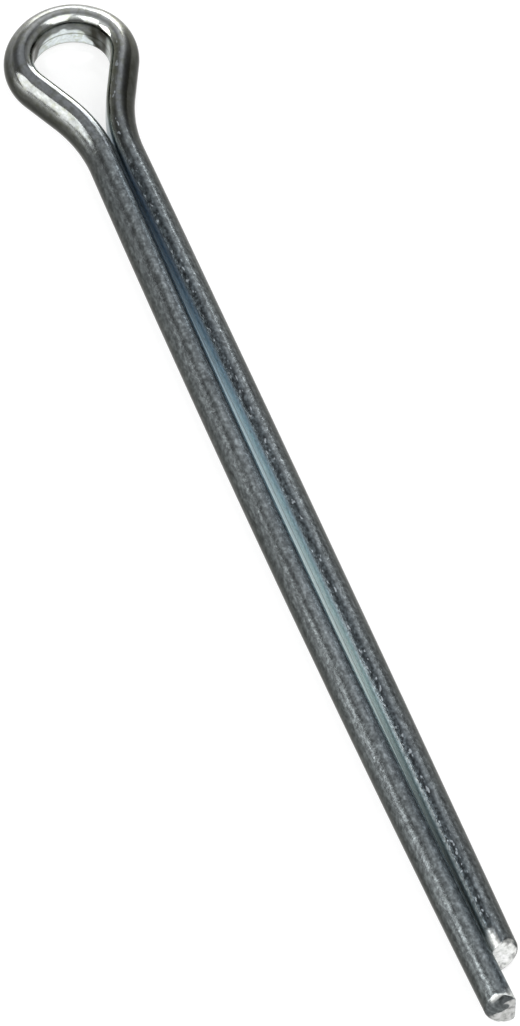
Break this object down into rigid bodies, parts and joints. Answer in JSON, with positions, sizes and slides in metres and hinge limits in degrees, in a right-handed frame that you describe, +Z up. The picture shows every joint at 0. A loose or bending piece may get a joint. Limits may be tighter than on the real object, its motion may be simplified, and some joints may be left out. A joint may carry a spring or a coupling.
{
  "type": "cotter pin",
  "caption": "Split pin of folded half-round wire: an oval eye at the head, an S-shaped neck, and straight prongs lying flat to flat, one reaching past the other at the tip.",
  "frame": {"origin": "on the axis of the shank at the gauge plane, where the neck just fills the mouth of the hole that the pin is made for", "axes": "+X along the shank from the eye to the tips; +Y across the eye, in its plane, to the side of the short prong; +Z up, square to the plane of the eye, as the pin lies on a floor"},
  "size_m": [0.1233, 0.0136, 0.005],
  "materials": {
    "zinc_plated_steel": "bright zinc plate on drawn half-round wire"
  },
  "bodies": {
    "root": {"pin": "zinc_plated_steel"}
  },
  "joints": []
}
